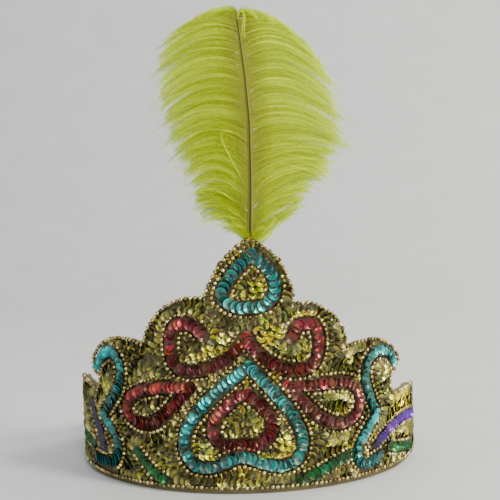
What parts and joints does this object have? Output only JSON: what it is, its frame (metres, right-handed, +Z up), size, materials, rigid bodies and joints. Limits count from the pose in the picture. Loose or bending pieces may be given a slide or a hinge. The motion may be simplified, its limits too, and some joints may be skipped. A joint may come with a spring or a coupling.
{
  "type": "uyghur headdress",
  "caption": "Stiff cloth crown ring with a tall lobed front, sewn all over with sequins and seed beads, and a dyed ostrich plume standing behind its point.",
  "frame": {"origin": "centre of the ring at its bottom rim, on the surface that it stands on", "axes": "+Z up the crown and its plume, -Y out of the tall front, +X to the right of someone facing the front"},
  "size_m": [0.1806, 0.1806, 0.2303],
  "materials": {
    "gold_cloth": "dark gold woven cloth over a stiff core",
    "lining_cloth": "plain off-white cotton",
    "gold_sequins": "overlapping metallic gold cup sequins",
    "turquoise_sequins": "overlapping metallic turquoise cup sequins between strings of gold seed beads",
    "red_sequins": "overlapping metallic red cup sequins between strings of gold seed beads",
    "green_sequins": "overlapping metallic green cup sequins between strings of gold seed beads",
    "violet_sequins": "overlapping metallic violet cup sequins between strings of gold seed beads",
    "gold_beads": "round gold seed beads",
    "feather_shaft": "dyed horn of the quill, semi-matt",
    "lime_feather": "soft lime yellow ostrich barbs"
  },
  "bodies": {
    "root": {"crown_wall": "gold_cloth", "crown_lining": "lining_cloth", "sequin_ground": "gold_sequins", "large_heart": "turquoise_sequins", "inner_heart": "red_sequins", "apex_drop": "turquoise_sequins", "scroll_right": "turquoise_sequins", "scroll_left": "turquoise_sequins", "shoulder_curl_right": "red_sequins", "shoulder_curl_left": "red_sequins", "side_loop_right": "red_sequins", "side_loop_left": "red_sequins", "leaf_right": "green_sequins", "leaf_left": "green_sequins", "side_bar_right": "violet_sequins", "side_bar_left": "violet_sequins", "side_leaf_right": "green_sequins", "side_leaf_left": "green_sequins", "top_edge_beads": "gold_beads", "bottom_edge_beads": "gold_beads", "plume_shaft": "feather_shaft", "plume_vane": "lime_feather", "quill_pocket": "lining_cloth"}
  },
  "joints": []
}
